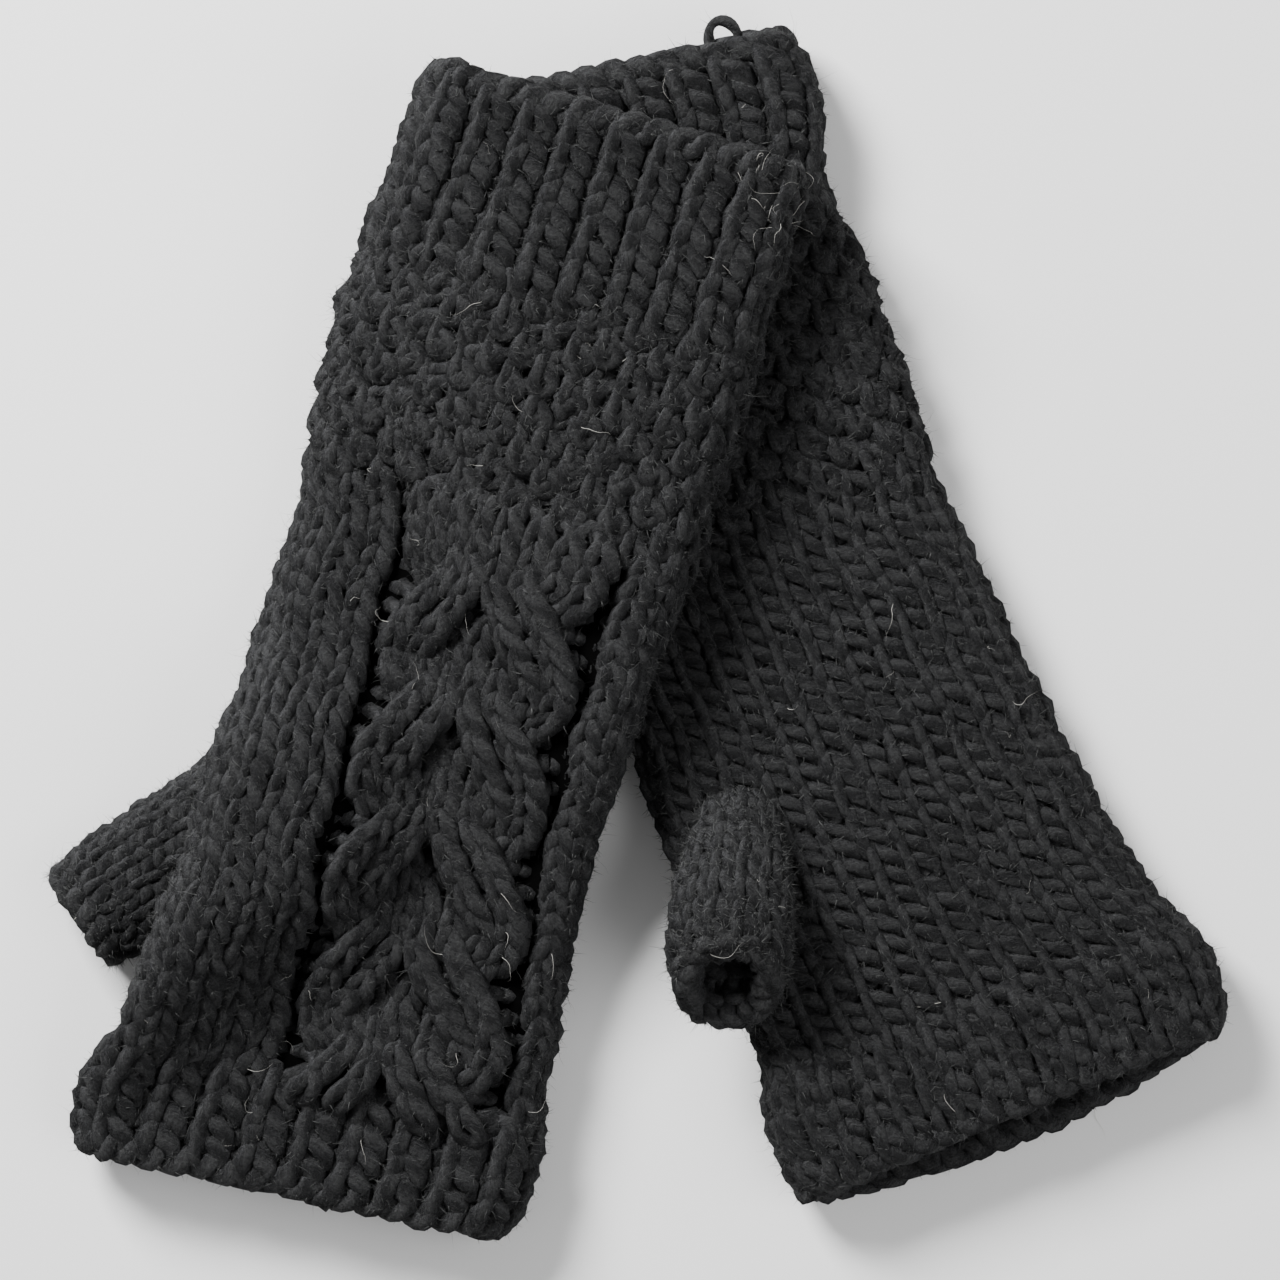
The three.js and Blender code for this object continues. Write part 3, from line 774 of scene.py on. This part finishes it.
def hand_order(mitt, s_row):
    """The columns in the order in which the yarn meets them, from the thumb-side groove on."""
    out = {}
    for index in range(4):
        outward, _ = crossing(np.array([s_row]), index // 2)
        out[index] = float(outward[0]) * 2 + (index % 2) * 0.5
    across = sorted(range(4), key=lambda k: out[k])
    order = [("groove", 0)]
    order += [("thumb_half", k) for k in reversed(across)]
    order += [("outer_half", k) for k in across]
    order += [("groove", 1)]
    order += [("ground", k) for k in range(GROUND_COLUMNS)]
    return order


# The thickness of each panel's yarn.
HAND_PIECES = {
    "back_thumb_side_panel": 3.4, "cable_thumb_side_strand": 3.5, "cable_outer_side_strand": 3.6,
    "back_outer_side_panel": 3.4, "palm_panel": 3.1, "thumb_gusset": 3.1,
}

for mitt in (left, right):
    yarns = {name: Yarn(thickness) for name, thickness in HAND_PIECES.items()}
    start = SEED_ENDS[mitt.name] - 0.5
    rows = HAND_ROWS[mitt.name]
    pitch = (HAND_END - start) / rows
    for row in range(rows):
        s_row = start + pitch * (row + 0.5)
        order = hand_order(mitt, s_row)
        around = 2 * float(mitt.half_round(s_row))
        at_row = np.full((len(order), 1), s_row)
        centres = hand_tracks(mitt, order, at_row)[0][:, 0]
        inner = float(cable_edge(mitt, s_row, 1, -1))
        outer = float(cable_edge(mitt, s_row, 2, 1))
        middle = float(mitt.back_line(s_row, along(CABLE_MIDDLE, 1, s_row)))
        ground = (around + inner - outer - 2 * GROOVE_WIDTH) / GROUND_COLUMNS
        wide = {
            "ground": ground, "groove": GROOVE_WIDTH, "thumb_half": (middle - inner) / 4,
            "outer_half": (outer - middle) / 4,
        }
        widths = np.array([wide[kind] for kind, _ in order])
        knit = np.array([kind != "groove" for kind, _ in order])
        points = course(
            lambda s: hand_tracks(mitt, order, s)[0], widths, knit, knit, s_row, HAND_REACH * pitch,
            lambda s: hand_tracks(mitt, order, s)[1], mitt, around, bump=GROOVE_BUMP,
            even=EVEN_SHARE[mitt.name],
        )
        palm_edge = around - float(gusset_palm_edge(s_row))
        labels = []
        for (kind, index), centre in zip(order, centres):
            if kind == "thumb_half":
                labels.append("cable_thumb_side_strand")
            elif kind == "outer_half":
                labels.append("cable_outer_side_strand")
            elif (kind, index) == ("groove", 0) or centre > around + GUSSET_BACK_EDGE:
                labels.append("back_thumb_side_panel")
            elif centre < around / 2:
                labels.append("back_outer_side_panel")
            elif centre < palm_edge:
                labels.append("palm_panel")
            else:
                labels.append("thumb_gusset")
        labels = np.array(labels)
        spots = mitt.point(centres, np.full(len(centres), s_row), np.full(len(centres), MIDDLE))
        clear = ~thumbs[mitt.name].inside(spots / MM)
        for name, yarn in yarns.items():
            keep = (labels == name) & clear
            if keep.any():
                yarn.knit(mitt.point, points, keep, closed=False)
    for name, yarn in yarns.items():
        made = yarn.piece(f"{mitt.name}_{name}_yarn", charcoal)
        settle(made, yarn, f"{mitt.name}_mitt", [f"{mitt.name}_{name}"])

# ---- Thumbs --------------------------------------------------------------------------------------
# Each thumb is a short plain tube worked out of the hand, with a bound-off rim.
THUMB_COLUMNS = 12
THUMB_PITCH = 4.5
THUMB_START = 9.0
THUMB_YARN = 3.4
THUMB_WALL = 5.9
RIM_LENGTH = 3.8
RIM_YARN = 4.4
RIM_TWIST = (0.7, 1.4, 1.3)
RIM_INSET = 1.3
BEND = (-6 * MM, 15 * MM)  # distances from a thumb's root along its line, to two points that nothing uses
RIM_SQUEEZE = {"left": 0.3, "right": 2.2}

for mitt in (left, right):
    thumb = thumbs[mitt.name]
    rows = round((thumb.length - RIM_LENGTH - THUMB_START) / THUMB_PITCH)
    pitch = (thumb.length - RIM_LENGTH - THUMB_START) / rows
    shares = (np.arange(THUMB_COLUMNS) + 0.5) / THUMB_COLUMNS
    knit = np.ones(THUMB_COLUMNS, bool)
    yarn = Yarn(THUMB_YARN)
    for row in range(rows):
        s_row = THUMB_START + pitch * (row + 0.5)
        points = course(
            lambda s: shares[:, None] * thumb.around + 0 * s,
            np.full(THUMB_COLUMNS, thumb.around / THUMB_COLUMNS), knit, knit, s_row,
            LOOP_REACH * pitch, flat_loft, thumb, thumb.around, even=0.5,
        )
        # Loops that would lie inside the hand are left out.
        places = thumb.point(shares * thumb.around, np.full(THUMB_COLUMNS, s_row), -3.0)
        height = places[:, 2] / MM
        if mitt is right:
            keep = height > HEIGHT - WALL
        else:
            keep = height < left.lift(places[:, :2] / MM) + WALL
        if keep.any():
            yarn.knit(thumb.point, points, keep, closed=bool(keep.all()))
    tube = yarn.piece(f"{mitt.name}_thumb_tube_yarn", charcoal)
    rim_yarn = Yarn(RIM_YARN)
    turns = round(thumb.around / EDGE_PITCH)
    steps = turns * EDGE_STEPS
    angle = 2 * math.pi * np.arange(steps) / steps
    for strand in (0, math.pi):
        twist = turns * angle + strand
        b = thumb.around * angle / (2 * math.pi) + RIM_TWIST[0] * np.sin(2 * twist)
        s = thumb.length - RIM_INSET + RIM_TWIST[1] * np.cos(twist)
        squeeze = RIM_SQUEEZE[mitt.name] * np.maximum(np.cos(4 * math.pi * b / thumb.around), -0.3)
        out = -THUMB_WALL / 2 - squeeze + RIM_TWIST[2] * np.sin(twist)
        thick = 1 + 0.15 * squeeze
        rim_yarn.lay(thumb.point, np.stack([b, s, out, thick], 1), closed=True)
    edge = rim_yarn.piece(f"{mitt.name}_thumb_bind_off_edge_yarn", edge_charcoal)
    pivot, tip = (np.append(spot, 0) * MM for spot in mitt.thumb_line())
    heading = (tip - pivot) / np.linalg.norm(tip - pivot)
    start, end = (tuple(pivot + distance * heading) for distance in BEND)
    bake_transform(tube)
    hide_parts(f"{mitt.name}_thumb_base_rows", f"{mitt.name}_thumb_tube")
    surface_samples[f"{mitt.name}_thumb_tube"] = [
        (np.concatenate(yarn.roots), np.concatenate(yarn.normals))
    ]
    settle(
        edge, rim_yarn, f"{mitt.name}_thumb", [f"{mitt.name}_thumb_bind_off_edge"]
    )

# ---- Yarn loop -----------------------------------------------------------------------------------
# A slack loop of the cast-on yarn stands out of the right cuff's rim.
LOOP_RADIUS = 3.2
LOOP_STRETCH = 1.3
LOOP_YARN = 2.2
LOOP_X = 25.5
LOOP_HEIGHT = 17.5
CUFF_SLOPE = 0.155
loop_yarn = Yarn(LOOP_YARN)
arch = np.linspace(-0.2, math.pi + 0.2, 15)
loop_x = LOOP_X + LOOP_RADIUS * np.cos(arch)
loop_s = -0.6 + CUFF_SLOPE * LOOP_X - LOOP_STRETCH * LOOP_RADIUS * np.sin(arch)


def loop_surface(b, s, out):
    spot = right.plan(b, s)
    return np.concatenate([spot, (LOOP_HEIGHT + out)[..., None]], -1) * MM


loop_yarn.lay(loop_surface, np.stack([loop_x, loop_s, 0 * arch, 1 + 0 * arch], 1))
made = loop_yarn.piece("right_cast_on_loop_yarn", edge_charcoal)
settle(made, loop_yarn, "right_mitt", ["right_cast_on_yarn_loop"])

# ---- Painted shade inside ------------------------------------------------------------------------
# A thin near-black sheet within each tube closes the gaps between stitches. It is painted shade:
# it stands for the shaded inside of the knitting.
SHADE_SHEET_DEPTH = 4.4
SHADE_SHEET_THICKNESS = 0.7
shade_sheet_material = bpy.data.materials.new("painted_shade_sheet")
shade_sheet_material.use_nodes = True
shade_sheet_surface = shade_sheet_material.node_tree.nodes["Principled BSDF"]
# Near black: painted shade for the tube's inside, seen through the gaps between stitches.
shade_sheet_surface.inputs["Base Color"].default_value = (0.002, 0.002, 0.002, 1)
shade_sheet_surface.inputs["Roughness"].default_value = 1.0
shade_sheet_surface.inputs["Specular IOR Level"].default_value = 0.0

for mitt in (left, right):
    rows, turns = np.linspace(3, 242, 61), np.arange(80) / 80
    s = np.repeat(rows[:, None], len(turns), 1)
    b = turns * 2 * mitt.half_round(s)
    places = mitt.point(b, s, np.full_like(s, -SHADE_SHEET_DEPTH))
    open_here = thumbs[mitt.name].inside(places / MM)
    faces = []
    for row in range(len(rows) - 1):
        for turn in range(len(turns)):
            after = (turn + 1) % len(turns)
            corners = [(row, turn), (row, after), (row + 1, after), (row + 1, turn)]
            if not all(open_here[corner] for corner in corners):
                faces.append([r * len(turns) + c for r, c in corners[::-mitt.hand]])
    mesh = bpy.data.meshes.new(f"{mitt.name}_inside_mat")
    mesh.from_pydata(places.reshape(-1, 3).tolist(), [], faces)
    mesh.polygons.foreach_set("use_smooth", [True] * len(mesh.polygons))
    mesh.materials.append(shade_sheet_material)
    made = bpy.data.objects.new(mesh.name, mesh)
    bpy.context.collection.objects.link(made)
    thicken = made.modifiers.new("thickness", "SOLIDIFY")
    thicken.thickness = SHADE_SHEET_THICKNESS * MM
    thicken.offset = -1
    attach(made, f"{mitt.name}_mitt")

# ---- Fuzz ----------------------------------------------------------------------------------------
# Loose ends of fibre stand off the yarn all over, most of them short, and a few long pale hairs
# lie curled on the surface.
FIBRES_PER_PIECE = 33000


def plain_fibre(name, colour):
    material = bpy.data.materials.new(name)
    material.use_nodes = True
    surface = material.node_tree.nodes["Principled BSDF"]
    surface.inputs["Base Color"].default_value = (*colour, 1)
    surface.inputs["Roughness"].default_value = 0.8
    surface.inputs["Specular IOR Level"].default_value = 0.2
    return material


fuzz_materials = [
    plain_fibre("dark_fuzz", (0.010, 0.010, 0.010)),
    plain_fibre("light_fuzz", (0.095, 0.097, 0.095)),
]
hair_material = plain_fibre("pale_hair", (0.50, 0.49, 0.46))


def unit(vectors):
    return vectors / np.linalg.norm(vectors, axis=-1, keepdims=True)


def split(total):
    """The number of fibres in each of an even number of pieces."""
    pieces = 2 * math.ceil(total / FIBRES_PER_PIECE / 2)
    return [total // pieces] * pieces


def fibres(name, roots, normals, lengths, thickness, knots, curl, stand, material):
    """One object of three-sided fibres, which taper from their roots through some knots."""
    count = len(roots)
    heading = unit(stand * normals + unit(rng.normal(size=(count, 3))))
    below = np.sum(heading * normals, 1, keepdims=True)
    heading = unit(heading - np.minimum(below - 0.1, 0) * normals)
    bend = unit(np.cross(heading, rng.normal(size=(count, 3))))
    points = [roots - 0.3 * MM * normals]
    for _ in range(knots - 1):
        bend = unit(bend + 0.6 * rng.normal(size=(count, 3)))
        heading = unit(heading + curl * bend)
        points.append(points[-1] + heading * (lengths / (knots - 1))[:, None])
    path = np.stack(points, 1)
    path[..., 2] = np.abs(path[..., 2])  # those that meet the table bend up again
    side = unit(np.cross(heading, rng.normal(size=(count, 3))))
    rise = unit(np.cross(heading, side))
    taper = np.linspace(1, 0, knots)[None, :-1, None] * thickness * MM / 2
    rings = np.stack([
        path[:, :-1] + taper * (math.cos(a) * side + math.sin(a) * rise)[:, None]
        for a in (0, 2 * math.pi / 3, 4 * math.pi / 3)
    ], 2).reshape(count, -1, 3)
    places = np.concatenate([rings, path[:, -1:]], 1)
    base = (np.arange(count) * places.shape[1])[:, None]
    tip = 3 * (knots - 1)
    quads = [
        [k * 3 + c, k * 3 + (c + 1) % 3, k * 3 + 3 + (c + 1) % 3, k * 3 + 3 + c]
        for k in range(knots - 2) for c in range(3)
    ]
    ends = [[2, 1, 0]] + [[tip - 3 + c, tip - 3 + (c + 1) % 3, tip] for c in range(3)]
    loops = np.concatenate([(base + np.ravel(part).astype(int)).ravel() for part in (quads, ends)])
    sizes = np.repeat([4, 3], [count * len(quads), count * 4])
    mesh = bpy.data.meshes.new(name)
    mesh.vertices.add(places.size // 3)
    mesh.vertices.foreach_set("co", places.ravel())
    mesh.loops.add(len(loops))
    mesh.loops.foreach_set("vertex_index", loops.astype(np.int32))
    mesh.polygons.add(len(sizes))
    mesh.polygons.foreach_set(
        "loop_start", np.concatenate([[0], np.cumsum(sizes)[:-1]]).astype(np.int32)
    )
    mesh.update(calc_edges=True)
    mesh.materials.append(material)
    made = bpy.data.objects.new(name, mesh)
    bpy.context.collection.objects.link(made)
    return made


def tie(made, group):
    """Makes a piece of fuzz follow the yarn that it grows from."""
    if group.endswith("_tube"):
        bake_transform(made)
    else:
        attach(made, group)


# A tuft of pale hairs has gathered where the left cuff's rim lies on the right mitt.
hair_nest = left.point(left.half_round(np.array(3.0)), np.array(3.0), np.array(0.0))
# Each entry is how many short straight ends, long bent ends and pale hairs a group has.
FUZZ = {
    "left_mitt": (60000, 10500, 150), "right_mitt": (60000, 10500, 70),
    "left_thumb_tube": (5600, 600, 2), "right_thumb_tube": (8000, 900, 6),
    "left_thumb": (1500, 150, 2), "right_thumb": (1500, 150, 2),
}
for group, totals in FUZZ.items():
    roots = np.concatenate([roots for roots, _ in surface_samples[group]])
    normals = np.concatenate([normals for _, normals in surface_samples[group]])
    batches = [("short", count, k) for k, count in enumerate(split(totals[0]))]
    batches += [("bent", totals[1], 0), ("pale", totals[2], 0)]
    for kind, count, batch in batches:
        pick = rng.integers(0, len(roots), count)
        if kind == "pale" and group == "left_mitt":
            nearest = np.argsort(np.linalg.norm(roots - hair_nest, axis=1))[: len(roots) // 60]
            pick[: count // 4] = rng.choice(nearest, count // 4)
        stand = rng.uniform(0, 1.2, (count, 1))
        if kind == "short":
            lengths = np.clip(rng.lognormal(0.45, 0.4, count), 0.7, 4) * MM
            style = (0.15, 2, 0, stand, fuzz_materials[batch % 2])
        elif kind == "bent":
            lengths = np.clip(rng.lognormal(1.1, 0.4, count), 1.5, 9) * MM
            style = (0.08, 4, 0.6, stand, fuzz_materials[1])
        else:
            lengths = rng.uniform(3, 13, count) * MM
            style = (0.14, 12, 0.6, 0.4, hair_material)
        made = fibres(f"{group}_{kind}_fibres_{batch}", roots[pick], normals[pick], lengths, *style)
        tie(made, group)

# ---- Floor ---------------------------------------------------------------------------------------
# A plain pale table top.
bpy.ops.mesh.primitive_plane_add(size=6, location=(0, 0, 0))
floor = bpy.context.object
floor.name = "floor"
floor_material = bpy.data.materials.new("floor")
floor_material.use_nodes = True
floor_surface = floor_material.node_tree.nodes["Principled BSDF"]
floor_surface.inputs["Base Color"].default_value = (0.9, 0.9, 0.9, 1)
floor_surface.inputs["Roughness"].default_value = 0.8
floor.data.materials.append(floor_material)

# ---- Lights --------------------------------------------------------------------------------------
# Soft studio light: a wide lamp overhead towards the upper left, and a weaker one on the right.
LAMPS = {"key": ((-0.6, 0.7, 0.8), 0.45, 40), "fill": ((0.8, -0.3, 1.0), 1.0, 9)}
for name, (place, size, watts) in LAMPS.items():
    lamp = bpy.data.lights.new(name, "AREA")
    lamp.size = size
    lamp.energy = watts
    holder = bpy.data.objects.new(name, lamp)
    holder.location = place
    aim = -np.array(place)
    tilt = math.atan2(math.hypot(aim[0], aim[1]), -aim[2])
    holder.rotation_euler = (tilt, 0, math.atan2(aim[1], aim[0]) - math.pi / 2)
    bpy.context.collection.objects.link(holder)
world = bpy.data.worlds.new("studio")
world.use_nodes = True
world.node_tree.nodes["Background"].inputs["Color"].default_value = (1, 1, 1, 1)
world.node_tree.nodes["Background"].inputs["Strength"].default_value = 0.35
bpy.context.scene.world = world
